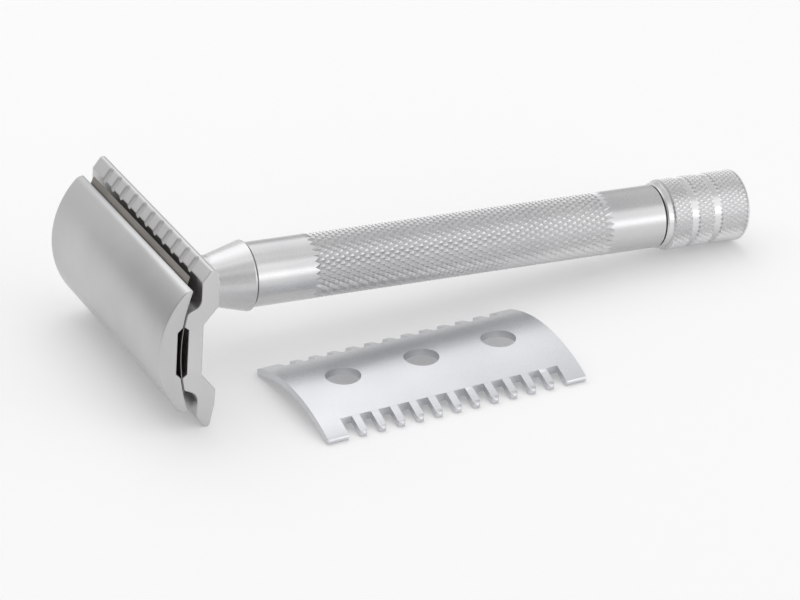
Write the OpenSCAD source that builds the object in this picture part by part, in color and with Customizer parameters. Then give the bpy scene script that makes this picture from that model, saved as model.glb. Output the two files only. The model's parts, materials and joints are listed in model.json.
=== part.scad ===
// Double edge safety razor with a closed comb plate fitted, lying on a table,
// and its spare open comb plate lying beside it. Millimetres.
//
// The razor is drawn in its own frame and then laid down. In that frame the
// screw's axis is X, the handle runs towards +X from the back of the base
// plate at x = 0, the cap is at -X, and the blade's edges face +Z and -Z.

/* [Overall] */
// Length of the razor, from the back of the base plate to the end of the knob
razor_len = 101.6; // [90:0.1:125]

/* [Head] */
// Length of the cap and of both plates, along the blade's edges
head_len = 43; // [40:0.5:48]
// Radius that the plates bend the blade to
seat_r = 29; // [24:0.5:40]
// Distance from the centre hole to each side hole
hole_pitch = 13.05; // [11:0.05:14.5]
// Radius of the three holes in a plate
hole_r = 2.7; // [2.6:0.02:3.2]
// Play between the clamped pieces, on each side of the blade
clamp_gap = 0.05; // [0.03:0.01:0.08]

/* [Top cap] */
// Radius of the cap's crown
cap_r = 14; // [13:0.1:15]
// Width of the cap over its two rolled long edges
cap_w = 19.8; // [19.4:0.05:20.2]
// Radius that the cap's long edges are rolled over to
cap_shoulder_r = 1.6; // [1.4:0.05:1.8]
// Height of the cap above the blade, at its middle
cap_h = 3.42; // [3:0.05:4]
// Rounding of the corners between those edges and the blade
cap_edge_r = 0.25; // [0.2:0.01:0.35]
// Width of the channel under the cap, at its mouth
cap_channel_w = 8.2; // [7:0.1:9]
// Depth of the channel under the cap
cap_channel_d = 0.5; // [0.3:0.05:0.9]
// Depth of the pin and stud sockets in the cap
cap_socket_d = 1.9; // [1:0.1:2.3]

/* [Guide pins and stud] */
// Radius of the two guide pins
pin_r = 2.4; // [2:0.05:2.5]
// Distance by which a pin stops short of the plate's back
pin_short = 0.2; // [0:0.1:1.5]
// Radius of the threaded stud
stud_r = 2.45; // [2.2:0.05:2.5]
// Length of stud below the back of the base plate
stud_reach = 9.3; // [8.5:0.1:10]
// Pitch of the thread
thread_pitch = 0.8; // [0.5:0.1:1]
// Depth of the thread
thread_d = 0.4; // [0.2:0.05:0.5]

/* [Blade] */
// Width of the blade from edge to edge, measured flat
blade_w = 22; // [21:0.1:23]
// Distance by which the blade's end tabs stop short of the head's ends
blade_short = 0.1; // [0.05:0.05:0.5]
// Thickness of the blade
blade_t = 0.1; // [0.08:0.01:0.15]
// Length of each cutting edge
edge_len = 37.5; // [35:0.1:39]
// Width of the end tabs
tab_w = 13; // [10:0.5:16]
// Radius of the three holes in the blade
blade_hole_r = 2.75; // [2.6:0.05:3]
// Width of the slot that joins the blade's holes
blade_slot_w = 2.2; // [1.5:0.1:3]

/* [Base plate] */
// Height of the blade's seat above the plate's back
seat_h = 3.3; // [3:0.05:4]
// Width of the flat back between the two bars
web_w = 8.1; // [8:0.1:9]
// Width of the channel in the seat, at its mouth
plate_channel_w = 8.2; // [7:0.1:9]
// Depth of the channel in the seat
plate_channel_d = 0.97; // [0.5:0.05:1.2]
// Width of the seat from lip to lip
seat_w = 12.4; // [11:0.1:13]
// Distance by which the bars stand behind the plate's back
bar_back = 2.33; // [1.8:0.05:2.8]
// Distance from the middle to the knee of each bar
bar_knee = 6.78; // [6:0.05:7.2]
// Distance from the middle to the end of each bar's flat back
bar_shoulder = 9.2; // [8.5:0.05:10]
// Distance from the middle to the front corner of each bar
bar_front = 10.95; // [10.5:0.05:11.3]
// Distance from the middle to the corner of the recess ahead of each bar
bar_recess = 7.18; // [7:0.02:7.6]
// Distance of the bar's front face ahead of the plate's back
bar_lead = 0.5; // [0.2:0.05:0.9]
// Distance from the middle to the unrounded tip of each bar
bar_tip = 13.56; // [13.2:0.02:14]
// Distance of that tip behind the plate's back
bar_drop = 1.44; // [1:0.02:1.8]
// Rounding of each bar's tip
bar_tip_r = 0.6; // [0.4:0.05:0.8]
// Number of flutes in each bar
flute_n = 11; // [7:2:13]
// Distance from one flute to the next
flute_pitch = 3.3; // [2.8:0.05:3.4]
// Radius of a flute and of its rounded end
flute_r = 0.95; // [0.8:0.05:1.2]
// Depth of a flute below the bar's sloping face
flute_d = 0.3; // [0.2:0.05:0.5]
// Distance from the bar's front corner to the middle of a flute's rounded end
flute_run = 1.9; // [1.2:0.05:2.1]

/* [Open comb plate] */
// Width of the open comb plate over its teeth
comb_w = 24.6; // [23:0.1:27]
// Thickness of the open comb plate
comb_t = 1.15; // [0.8:0.05:1.5]
// Number of teeth between the end tabs, along each side
tooth_n = 11; // [7:2:13]
// Distance from one tooth to the next
tooth_pitch = 3.12; // [2.6:0.02:3.2]
// Width of a tooth
tooth_w = 1.2; // [0.8:0.05:1.6]
// Length of a tooth
tooth_len = 3.1; // [2.5:0.1:4.5]
// Rounding of the end tabs' corners
tab_r = 0.5; // [0.4:0.1:1.5]
// Place of the open comb plate's middle, along the razor
comb_x = 35.2; // [30:0.1:60]
// Place of the open comb plate's middle, beside the razor
comb_y = -21.7; // [-40:0.1:-20]
// Turn of the open comb plate where it lies
comb_turn = 1.3; // [0:0.1:5]

/* [Neck ferrule] */
// Length of the ferrule outside the handle
ferrule_len = 16.15; // [14:0.05:20]
// Radius of the ferrule's neck, against the plate
neck_r = 3.95; // [3.9:0.05:4]
// Largest radius of the ferrule
ferrule_r = 5.48; // [5.2:0.02:6]
// Length of the ferrule's cone
cone_len = 5.7; // [4:0.1:8]
// Length of the rounded shoulder behind the cone
shoulder_len = 0.5; // [0.3:0.05:1]
// Thickness of the ferrule's front wall
front_wall = 1.5; // [1:0.1:2]
// Length of the spigot inside the handle
spigot_len = 5; // [3:0.5:8]
// Wall of the spigot
spigot_wall = 0.85; // [0.6:0.05:1]

/* [Handle tube] */
// Radius of the handle
handle_r = 5; // [4.9:0.05:6]
// Chamfer at both ends of the tube
tube_chamfer = 0.12; // [0.05:0.01:0.3]

/* [Draw rod] */
// Radius of the draw rod
rod_r = 1.6; // [1.4:0.1:1.9]
// Length of the guide bushes
bush_len = 4; // [2:0.5:8]
// Radius of the threaded socket
socket_r = 3.3; // [3.1:0.05:3.35]
// Length of the threaded socket
socket_len = 12; // [11:0.5:14]
// Depth of the thread in the socket
thread_len = 8.6; // [8:0.1:9]
// Running clearance round the turning pieces
run_gap = 0.05; // [0.02:0.01:0.09]
// Radius of the socket's cross pin
cross_pin_r = 0.5; // [0.3:0.1:0.7]
// Thickness of the retaining ring
ring_t = 0.5; // [0.4:0.1:0.8]
// Outer radius of the retaining ring
ring_r = 2.6; // [2.2:0.1:3]
// Depth of the ring's groove in the rod
ring_groove_d = 0.3; // [0.2:0.05:0.4]

/* [Knob] */
// Radius of the knurled bands
knob_r = 5.72; // [5.7:0.02:7]
// Length of the knob
knob_len = 14.85; // [13:0.05:20]
// Gap between the knob and the handle tube
knob_gap = 0.15; // [0.1:0.05:0.4]
// Length of the plain lip at the front of the knob
lip_len = 0.5; // [0.3:0.1:1]
// Length of the rise from the lip to the first band
rise_len = 0.75; // [0.4:0.05:1.5]
// Length of the first and second knurled bands
band_len = 3; // [2:0.1:4]
// Width of the grooves between the bands
groove_w = 1.07; // [0.6:0.05:1.5]
// Depth of the grooves between the bands
groove_d = 0.32; // [0.2:0.02:0.6]
// Length of the chamfer at the front of the second and third bands
band_chamfer = 0.35; // [0.1:0.05:0.6]
// Rounding of the knob's end
knob_end_r = 0.7; // [0.3:0.05:1.2]
// Depth of the washer recess in the front of the knob
recess_d = 1.15; // [1:0.05:1.6]
// Radius of the washer recess
recess_r = 3.6; // [3.4:0.05:4]
// Thickness of the flat thrust washer
washer_t = 0.4; // [0.3:0.05:0.5]
// Thickness of the spring washer's metal
spring_t = 0.3; // [0.2:0.05:0.4]
// Length of rod that the knob is fixed to
knob_grip = 8; // [6:0.5:9]

/* [End screw] */
// Radius of the end screw
screw_r = 1; // [0.8:0.05:1.2]
// Radius of the end screw's head
screw_head_r = 2.2; // [1.8:0.1:2.6]
// Height of the end screw's head
screw_head_h = 1.2; // [1:0.1:1.5]
// Depth of the end screw's head below the knob's end
screw_sink = 0.3; // [0:0.05:0.6]
// Length of the end screw inside the rod
screw_grip = 4; // [3:0.5:5]
// Width of the slot in the end screw
slot_w = 0.5; // [0.4:0.05:0.8]

/* [Hidden] */
$fn = 64;

rest_gap = 0.02;                 // between flat faces on different bodies
over = 1;                        // how far a cut runs past the face it opens
arc_n = 24;                      // steps in a long arc
corner_n = 6;                    // steps in a rounded corner
grind_w = 0.6;                   // width of the blade's ground edge
flank_share = 0.3;               // share of the pitch in each flank of the thread
crest_share = 0.2;               // share of the pitch in its crest
flat_share = 0.3;                // share of the ferrule's shoulder that is not chamfered
lip_share = 0.3;                 // share of the knob's rise that its lip has
mouth_share = 0.8;               // mouth of the retaining ring, over its groove's diameter

// Roundings of the base plate's outline, from its back to its seat
knee_round = 0.4;
shoulder_round = 2.5;
front_round = 0.5;
recess_round = 1.7;
lip_round = 0.45;
bar_lean = 0.05;                 // fall of a bar's back between knee and shoulder
nose_trim = 0.01;                // ground off the round noses of the open comb plate's sheet

// Head, along the screw's axis
seat_x = -seat_h;
blade_x = seat_x - clamp_gap;
cap_x = blade_x - blade_t - clamp_gap;
bend_x = seat_x + seat_r;        // centre that seat, blade and cap bend about
blade_back_r = seat_r + clamp_gap;
blade_len = head_len - 2 * blade_short;
cap_face_r = bend_x - cap_x;
cap_bend_x = cap_x - cap_h + cap_r;
cap_channel_x = cap_x - cap_channel_d;
plate_channel_x = seat_x + plate_channel_d;
channel_slope = 0.55;            // sideways lean of a channel's walls
socket_floor_x = cap_channel_x - cap_socket_d;

// Rolled edge of the cap: it meets the crown, and turns until its rounded
// corner meets the face under the cap
shoulder_z = cap_w / 2 - cap_shoulder_r;
shoulder_x = cap_bend_x - sqrt((cap_r - cap_shoulder_r) ^ 2 - shoulder_z ^ 2);
cap_arc = atan2(shoulder_z, cap_bend_x - shoulder_x);
edge_a = cap_shoulder_r - cap_edge_r;
edge_b = cap_face_r + cap_edge_r;
edge_reach = norm([bend_x - shoulder_x, shoulder_z]);
edge_turn = acos((edge_a ^ 2 + edge_reach ^ 2 - edge_b ^ 2) / (2 * edge_a * edge_reach))
    - atan2(shoulder_z, bend_x - shoulder_x);
edge_x = shoulder_x + edge_a * cos(edge_turn);
edge_z = shoulder_z + edge_a * sin(edge_turn);
face_arc = asin(edge_z / edge_b);

// Handle, along the screw's axis
joint_x = ferrule_len;
spigot_end_x = joint_x + spigot_len;
knob_x = razor_len - knob_len;
tube_end_x = knob_x - knob_gap;
recess_x = knob_x + recess_d;
rear_bush_x = tube_end_x - bush_len;
ring_x = rear_bush_x - run_gap - ring_t;
rod_end_x = recess_x + knob_grip;
socket_x = front_wall + run_gap;
socket_end_x = socket_x + socket_len;
thread_end_x = socket_x + thread_len;
bore_r = socket_r + run_gap;
spigot_r = bore_r + spigot_wall;
thread_bore_r = stud_r + run_gap;
bush_bore_r = rod_r + run_gap;

// The bar's sloping face, from its front corner to its unrounded tip
bar_front_x = -bar_lead;
slope = atan2(bar_tip - bar_front, bar_drop - bar_front_x);

// Centre of the bar's tip rounding, which the razor rests on
tip_up = atan2(bar_tip - bar_shoulder, bar_drop - bar_back);
tip_half = (tip_up - slope) / 2;
tip_mid = (tip_up + slope) / 2;
foot_x = bar_drop - bar_tip_r / sin(tip_half) * cos(tip_mid);
foot_z = bar_tip - bar_tip_r / sin(tip_half) * sin(tip_mid);

// The razor rests on the lower bar and on the end of the knob
heel_x = razor_len - knob_end_r;
heel_z = knob_r - knob_end_r;
span = norm([heel_x - foot_x, foot_z - heel_z]);
tilt = atan2(foot_z - heel_z, heel_x - foot_x) - asin((knob_end_r - bar_tip_r) / span);
axis_h = bar_tip_r + foot_x * sin(tilt) + foot_z * cos(tilt);

// Origin under the middle of everything that lies on the table
left_x = cap_bend_x * cos(tilt) - cap_r;
right_x = heel_x * cos(tilt) + heel_z * sin(tilt) + knob_end_r;
origin_x = (left_x + right_x) / 2;
near_y = comb_y - (head_len / 2 - tab_r) * sin(comb_turn)
    - (comb_w / 2 - tab_r) * cos(comb_turn) - tab_r;
origin_y = (head_len / 2 + near_y) / 2;

// Open comb plate: centre line of its sheet and height of its bend centre
comb_mid_r = seat_r - comb_t / 2;
comb_nose = comb_w / 2 + nose_trim - comb_t / 2;
comb_arc = asin(comb_nose / comb_mid_r);
comb_bend_z = comb_t / 2 - comb_mid_r * cos(comb_arc);
comb_crown_z = comb_bend_z + seat_r;

// Open comb plate: root line of its teeth, and inner side of its end tabs
root_y = comb_w / 2 - tooth_len;
tab_x = (tooth_n + 1) / 2 * tooth_pitch - tooth_w / 2;

function unit(v) = v / norm(v);
function cross_z(a, b) = a.x * b.y - a.y * b.x;
function flip(p) = [p.x, -p.y];
function mirrored(half) = concat(half, [for (i = [len(half) - 1:-1:0]) flip(half[i])]);

// Points on a circle's arc
function arc(centre, r, a0, a1, n) =
    [for (i = [0:n]) let (a = a0 + (a1 - a0) * i / n) centre + r * [cos(a), sin(a)]];

// The corner b between a and c, rounded to radius r
function corner(a, b, c, r) =
    let (
        u = unit(a - b),
        v = unit(c - b),
        half = acos(u * v) / 2,
        centre = b + unit(u + v) * r / sin(half),
        start = b + u * r / tan(half) - centre,
        turn = (180 - 2 * half) * sign(cross_z(b - a, c - b)),
        a0 = atan2(start.y, start.x)
    )
    arc(centre, r, a0, a0 + turn, corner_n);

// Rows of [radius, x] turned about the screw's axis
module turned(rows) {
    rotate([0, 90, 0])
        rotate_extrude()
            polygon(rows);
}

module rod_along_x(r, x0, x1) {
    translate([x0, 0, 0])
        rotate([0, 90, 0])
            cylinder(r = r, h = x1 - x0);
}

// An outline in x and z, drawn out along the head
module extruded(points, length) {
    rotate([90, 0, 0])
        linear_extrude(height = length, center = true)
            polygon(points);
}

// Laid down: the razor's own frame tilts until bar and knob touch z = 0
module lay_down() {
    translate([-origin_x, -origin_y, axis_h])
        rotate([0, tilt, 0])
            children();
}

module three_holes(r, x0, x1) {
    for (side = [-1, 0, 1])
        translate([0, side * hole_pitch, 0])
            rod_along_x(r, x0, x1);
}

// ---- Cap ----

function cap_half() = concat(
    arc([cap_bend_x, 0], cap_r, 180, 180 - cap_arc, arc_n),
    arc([shoulder_x, shoulder_z], cap_shoulder_r, 180 - cap_arc, edge_turn, 2 * corner_n),
    arc([edge_x, edge_z], cap_edge_r, edge_turn, -face_arc, corner_n),
    arc([bend_x, 0], cap_face_r, 180 - face_arc, 180 - asin(cap_channel_w / 2 / cap_face_r), arc_n),
    [[cap_channel_x, cap_channel_w / 2 - cap_channel_d * (1 + channel_slope)]]
);

module top_cap() {
    color("silver")
        lay_down()
            difference() {
                extruded(mirrored(cap_half()), head_len);
                for (side = [-1, 1])
                    translate([0, side * hole_pitch, 0])
                        rod_along_x(pin_r, socket_floor_x, cap_x + over);
                rod_along_x(stud_r, socket_floor_x, cap_x + over);
            }
}

module cap_guide_pins() {
    chamfer = 0.4;
    end_x = -pin_short;
    color("gainsboro")
        lay_down()
            for (side = [-1, 1])
                translate([0, side * hole_pitch, 0])
                    turned([
                        [0, socket_floor_x],
                        [pin_r, socket_floor_x],
                        [pin_r, end_x - chamfer],
                        [pin_r - chamfer, end_x],
                        [0, end_x],
                    ]);
}

// The thread stands in as rings, one for each turn
function thread_rows(x0, turns) =
    let (
        root_r = stud_r - thread_d,
        flank = flank_share * thread_pitch,
        crest = crest_share * thread_pitch,
        root = thread_pitch - 2 * flank - crest
    )
    [for (i = [0:turns - 1]) let (x = x0 + i * thread_pitch + root / 2) each [
        [root_r, x],
        [stud_r, x + flank],
        [stud_r, x + flank + crest],
        [root_r, x + 2 * flank + crest],
    ]];

module cap_stud() {
    chamfer = 0.5;
    shank_x = front_wall / 2;
    turns = floor((stud_reach - shank_x - chamfer) / thread_pitch);
    color("gainsboro")
        lay_down()
            turned(concat(
                [[0, socket_floor_x], [stud_r, socket_floor_x], [stud_r, shank_x]],
                thread_rows(shank_x, turns),
                [
                    [stud_r - thread_d, stud_reach - chamfer],
                    [stud_r - thread_d - chamfer, stud_reach],
                    [0, stud_reach],
                ]
            ));
}

// ---- Blade ----

module razor_blade() {
    half_arc = blade_w / 2 / blade_back_r * 180 / PI;
    front_r = blade_back_r + blade_t;
    edge_r = blade_back_r + blade_t / 2;
    grind = grind_w / blade_back_r * 180 / PI;
    centre = [bend_x, 0];
    outline = concat(
        arc(centre, front_r, 180 - half_arc + grind, 180 + half_arc - grind, arc_n),
        [centre + edge_r * [-cos(half_arc), -sin(half_arc)]],
        arc(centre, blade_back_r, 180 + half_arc - grind, 180 - half_arc + grind, arc_n),
        [centre + edge_r * [-cos(half_arc), sin(half_arc)]]
    );
    notch_d = (blade_len - edge_len) / 2 + over;
    color("slategray")
        lay_down()
            difference() {
                extruded(outline, blade_len);
                three_holes(blade_hole_r, cap_x - over, over);
                translate([cap_x - over, -hole_pitch, -blade_slot_w / 2])
                    cube([seat_h + 2 * over, 2 * hole_pitch, blade_slot_w]);
                for (end = [-1, 1], side = [-1, 1])
                    translate([
                        cap_x - over,
                        end < 0 ? -edge_len / 2 - notch_d : edge_len / 2,
                        side < 0 ? -tab_w / 2 - blade_w : tab_w / 2,
                    ])
                        cube([seat_h + 2 * over, notch_d, blade_w]);
            }
}

// ---- Base plate with closed combs ----

function seat_point(z) = [bend_x - sqrt(seat_r ^ 2 - z ^ 2), z];

function plate_half() =
    let (
        back = [0, web_w / 2],
        knee = [bar_back, bar_knee],
        shoulder = [bar_back - bar_lean, bar_shoulder],
        tip = [bar_drop, bar_tip],
        front = [bar_front_x, bar_front],
        recess = [bar_front_x, bar_recess],
        lip = seat_point(seat_w / 2),
        seat_end = asin(plate_channel_w / 2 / seat_r),
        lip_end = asin((seat_w / 2 - 2 * lip_round) / seat_r)
    )
    concat(
        [[0, 0], back],
        corner(back, knee, shoulder, knee_round),
        corner(knee, shoulder, tip, shoulder_round),
        corner(shoulder, tip, front, bar_tip_r),
        corner(tip, front, recess, front_round),
        corner(front, recess, lip, recess_round),
        corner(recess, lip, seat_point(plate_channel_w / 2), lip_round),
        arc([bend_x, 0], seat_r, 180 - lip_end, 180 - seat_end, corner_n),
        [[plate_channel_x, plate_channel_w / 2 - plate_channel_d * channel_slope]]
    );

// Each flute is a round groove up the sloping face, with a rounded end
module flutes() {
    profile = concat(
        [[0, -over], [flute_r, -over]],
        arc([0, flute_run], flute_r, 0, 90, corner_n)
    );
    for (i = [0:flute_n - 1])
        translate([bar_front_x, (i - (flute_n - 1) / 2) * flute_pitch, bar_front])
            rotate([0, 90 - slope, 0])
                translate([flute_d - flute_r, 0, 0])
                    rotate_extrude()
                        polygon(profile);
}

module base_plate() {
    color("lightgray")
        lay_down()
            difference() {
                extruded(mirrored(plate_half()), head_len);
                three_holes(hole_r, seat_x - over, over);
                flutes();
                mirror([0, 0, 1])
                    flutes();
            }
}

// ---- Open comb plate ----

// A bent sheet with round noses
module comb_outline() {
    wedge = 2 * seat_r * [sin(comb_arc), cos(comb_arc)];
    translate([0, comb_bend_z]) {
        intersection() {
            difference() {
                circle(seat_r);
                circle(seat_r - comb_t);
            }
            polygon([[0, 0], wedge, [-wedge.x, wedge.y]]);
        }
        for (side = [-1, 1])
            translate(comb_mid_r * [side * sin(comb_arc), cos(comb_arc)])
                circle(comb_t / 2);
    }
}

// Seen from above: a middle with round-ended teeth, between two end tabs
module comb_plan() {
    tab_w = head_len / 2 - tab_x;
    difference() {
        union() {
            square([2 * tab_x + tab_w, 2 * root_y], center = true);
            for (i = [0:tooth_n - 1])
                translate([(i - (tooth_n - 1) / 2) * tooth_pitch, 0]) {
                    square([tooth_w, comb_w - tooth_w], center = true);
                    for (side = [-1, 1])
                        translate([0, side * (comb_w - tooth_w) / 2])
                            circle(tooth_w / 2, $fn = corner_n * 4);
                }
            for (end = [-1, 1])
                translate([end * (tab_x + tab_w / 2), 0]) {
                    square([tab_w, comb_w - 2 * tab_r], center = true);
                    square([tab_w - 2 * tab_r, comb_w], center = true);
                    for (x = [-1, 1], y = [-1, 1])
                        translate([x * (tab_w / 2 - tab_r), y * (comb_w / 2 - tab_r)])
                            circle(tab_r, $fn = corner_n * 4);
                }
        }
        for (side = [-1, 0, 1])
            translate([side * hole_pitch, 0])
                circle(hole_r);
    }
}

module open_comb_plate() {
    color("whitesmoke")
        translate([comb_x - origin_x, comb_y - origin_y, 0])
            rotate([0, 0, comb_turn])
                intersection() {
                    rotate([90, 0, 90])
                        linear_extrude(height = head_len + 2 * over, center = true)
                            comb_outline();
                    linear_extrude(height = comb_crown_z + over)
                        comb_plan();
                }
}

// ---- Handle ----

module neck_ferrule() {
    edge = 0.2;
    cone_end_x = joint_x - shoulder_len;
    color("silver")
        lay_down()
            turned([
                [hole_r, rest_gap],
                [neck_r - edge, rest_gap],
                [neck_r, rest_gap + edge],
                [neck_r, cone_end_x - cone_len],
                [ferrule_r, cone_end_x],
                [ferrule_r, cone_end_x + shoulder_len * flat_share],
                [handle_r - tube_chamfer, joint_x],
                [spigot_r, joint_x],
                [spigot_r, spigot_end_x],
                [bore_r, spigot_end_x],
                [bore_r, front_wall],
                [hole_r, front_wall],
            ]);
}

module handle_tube() {
    color("silver")
        lay_down()
            turned([
                [spigot_r, joint_x],
                [handle_r - tube_chamfer, joint_x],
                [handle_r, joint_x + tube_chamfer],
                [handle_r, tube_end_x - tube_chamfer],
                [handle_r - tube_chamfer, tube_end_x],
                [bore_r, tube_end_x],
                [bore_r, spigot_end_x],
                [spigot_r, spigot_end_x],
            ]);
}

module bush(x) {
    turned([
        [bush_bore_r, x],
        [bore_r, x],
        [bore_r, x + bush_len],
        [bush_bore_r, x + bush_len],
    ]);
}

module front_bush() {
    color("goldenrod")
        lay_down()
            bush(spigot_end_x);
}

module rear_bush() {
    color("goldenrod")
        lay_down()
            bush(rear_bush_x);
}

module thrust_washer() {
    color("gray")
        lay_down()
            turned([
                [bush_bore_r, tube_end_x],
                [recess_r - run_gap, tube_end_x],
                [recess_r - run_gap, tube_end_x + washer_t],
                [bush_bore_r, tube_end_x + washer_t],
            ]);
}

// ---- Draw rod and knob ----

module draw_rod() {
    color("gray")
        lay_down()
            difference() {
                turned([
                    [0, thread_end_x],
                    [rod_r, thread_end_x],
                    [rod_r, ring_x],
                    [rod_r - ring_groove_d, ring_x],
                    [rod_r - ring_groove_d, ring_x + ring_t],
                    [rod_r, ring_x + ring_t],
                    [rod_r, rod_end_x],
                    [screw_r, rod_end_x],
                    [screw_r, rod_end_x - screw_grip],
                    [0, rod_end_x - screw_grip],
                ]);
                cross_pin();
            }
}

module draw_socket() {
    color("goldenrod")
        lay_down()
            difference() {
                turned([
                    [thread_bore_r, socket_x],
                    [socket_r, socket_x],
                    [socket_r, socket_end_x],
                    [rod_r, socket_end_x],
                    [rod_r, thread_end_x],
                    [thread_bore_r, thread_end_x],
                ]);
                cross_pin();
            }
}

module cross_pin() {
    pin_sink = 2 * run_gap;
    translate([(thread_end_x + socket_end_x) / 2, 0, 0])
        rotate([90, 0, 0])
            cylinder(r = cross_pin_r, h = 2 * (socket_r - pin_sink), center = true);
}

module socket_pin() {
    color("gray")
        lay_down()
            cross_pin();
}

module retaining_ring() {
    mouth = 2 * mouth_share * (rod_r - ring_groove_d);
    color("dimgray")
        lay_down()
            difference() {
                turned([
                    [rod_r - ring_groove_d, ring_x],
                    [ring_r, ring_x],
                    [ring_r, ring_x + ring_t],
                    [rod_r - ring_groove_d, ring_x + ring_t],
                ]);
                translate([ring_x - over, -mouth / 2, 0])
                    cube([ring_t + 2 * over, mouth, ring_r + over]);
            }
}

module spring_washer() {
    rim_gap = 4 * run_gap;
    rim_r = recess_r - rim_gap;
    front_x = tube_end_x + washer_t + rest_gap;
    color("dimgray")
        lay_down()
            turned([
                [rod_r, recess_x - spring_t],
                [rim_r, front_x],
                [rim_r, front_x + spring_t],
                [rod_r, recess_x],
            ]);
}

module knob_body() {
    lip_r = handle_r + (knob_r - handle_r) * lip_share;
    lip_x = knob_x + lip_len;
    band_x = lip_x + rise_len;
    band2_x = band_x + band_len + groove_w;
    band3_x = band2_x + band_len + groove_w;
    floor_r = knob_r - groove_d;
    head_x = razor_len - screw_sink;
    color("silver")
        lay_down()
            turned(concat(
                [
                    [rod_r, recess_x],
                    [recess_r, recess_x],
                    [recess_r, knob_x],
                    [handle_r, knob_x],
                    [lip_r, knob_x + lip_len / 2],
                    [lip_r, lip_x],
                    [knob_r, band_x],
                    [knob_r, band_x + band_len],
                    [floor_r, band_x + band_len],
                    [floor_r, band2_x],
                    [knob_r, band2_x + band_chamfer],
                    [knob_r, band2_x + band_len],
                    [floor_r, band2_x + band_len],
                    [floor_r, band3_x],
                    [knob_r, band3_x + band_chamfer],
                ],
                arc([heel_z, heel_x], knob_end_r, 0, 90, corner_n),
                [
                    [screw_head_r, razor_len],
                    [screw_head_r, head_x],
                    [screw_r, head_x - screw_head_h],
                    [screw_r, rod_end_x],
                    [rod_r, rod_end_x],
                ]
            ));
}

module end_screw() {
    head_x = razor_len - screw_sink;
    color("gray")
        lay_down()
            difference() {
                turned([
                    [0, rod_end_x - screw_grip],
                    [screw_r, rod_end_x - screw_grip],
                    [screw_r, head_x - screw_head_h],
                    [screw_head_r, head_x],
                    [0, head_x],
                ]);
                translate([head_x - screw_head_h / 2, -slot_w / 2, -screw_head_r - over])
                    cube([screw_head_h, slot_w, 2 * (screw_head_r + over)]);
            }
}

top_cap();
cap_guide_pins();
cap_stud();
razor_blade();
base_plate();
open_comb_plate();
neck_ferrule();
handle_tube();
front_bush();
rear_bush();
thrust_washer();
draw_rod();
draw_socket();
socket_pin();
retaining_ring();
spring_washer();
knob_body();
end_screw();
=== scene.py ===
import json
import math

import bmesh
import bpy
from mathutils import Matrix, Vector
from mathutils.bvhtree import BVHTree


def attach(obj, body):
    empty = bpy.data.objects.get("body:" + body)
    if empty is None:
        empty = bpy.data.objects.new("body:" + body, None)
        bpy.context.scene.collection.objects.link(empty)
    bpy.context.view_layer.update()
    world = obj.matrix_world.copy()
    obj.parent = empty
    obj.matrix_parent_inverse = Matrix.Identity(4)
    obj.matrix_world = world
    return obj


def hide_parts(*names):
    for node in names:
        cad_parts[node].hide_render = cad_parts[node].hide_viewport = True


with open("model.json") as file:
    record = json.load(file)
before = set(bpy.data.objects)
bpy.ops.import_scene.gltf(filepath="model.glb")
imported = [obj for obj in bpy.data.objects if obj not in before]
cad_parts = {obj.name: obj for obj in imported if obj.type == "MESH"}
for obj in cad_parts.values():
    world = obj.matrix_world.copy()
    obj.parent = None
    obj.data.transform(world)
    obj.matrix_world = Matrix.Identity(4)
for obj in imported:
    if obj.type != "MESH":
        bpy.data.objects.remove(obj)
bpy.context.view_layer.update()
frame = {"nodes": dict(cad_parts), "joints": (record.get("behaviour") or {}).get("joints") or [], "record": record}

# The razor's own frame is in millimetres: the screw's axis is X, the cap is at
# -X, the knob at +X, and the head runs along Y. LAID puts it on the table.
MM = 0.001
hinge = next(joint for joint in frame["joints"] if joint["name"] == "knob_turn")
hinge_axis = Vector(hinge["axis"])
TILT = math.atan2(-hinge_axis.z, hinge_axis.x)
LAID = (Matrix.Translation(hinge["pos_m"]) @ Matrix.Rotation(TILT, 4, "Y")
        @ Matrix.Scale(MM, 4))

# The open comb plate's own frame: the middle hole is over the origin, and the
# teeth point along Y. BESIDE puts it on the table, turned a little.
comb_hole = next(m for m in frame["record"]["mounts"] if m["name"] == "comb_centre_hole")
comb_x, comb_y, _ = comb_hole["pos_m"]
COMB_TURN = math.radians(1.3)
BESIDE = (Matrix.Translation((comb_x, comb_y, 0)) @ Matrix.Rotation(COMB_TURN, 4, "Z")
          @ Matrix.Scale(MM, 4))


# ---- Image points, in the photograph's frame ----

W, H = 800, 600
L = max(W, H)

POINTS = {
    "upper_bar_tip": (213.9, 270.0),
    "lower_bar_tip": (205.8, 425.8),
    "cap_upper_corner": (193.1, 290.0),
    "cap_lower_corner": (184.7, 413.1),
    "handle_joint": (258.5, 281.4),
    "knurl_start": (316.1, 273.9),
    "knurl_end": (615.2, 226.0),
    "knob_joint": (667.2, 225.5),
    "comb_far_left": (256.5, 370.7),
    "comb_near_right": (585.3, 380.7),
    "comb_left_hole": (343.0, 373.9),
    "comb_middle_hole": (421.7, 355.8),
    "comb_right_hole": (498.7, 337.1),
}


# ---- Camera ----

AIM = Vector((-0.01068, -0.00471, 0.0080))
AZIMUTH = math.radians(-25.658)
ELEVATION = math.radians(27.317)
DISTANCE = 0.5949
LENS = 176.7
SENSOR = 36.0


def add_camera():
    data = bpy.data.cameras.new("camera")
    data.lens = LENS
    data.sensor_width = SENSOR
    data.sensor_fit = "AUTO"
    camera = bpy.data.objects.new("camera", data)
    bpy.context.collection.objects.link(camera)
    level = Matrix.Rotation(AZIMUTH, 4, "Z") @ Matrix.Rotation(math.pi / 2 - ELEVATION, 4, "X")
    away = Matrix.Translation((0, 0, DISTANCE))
    camera.matrix_world = Matrix.Translation(AIM) @ level @ away
    bpy.context.scene.camera = camera
    bpy.context.view_layer.update()
    return camera


camera = add_camera()
EYE = camera.matrix_world.translation.copy()


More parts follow.
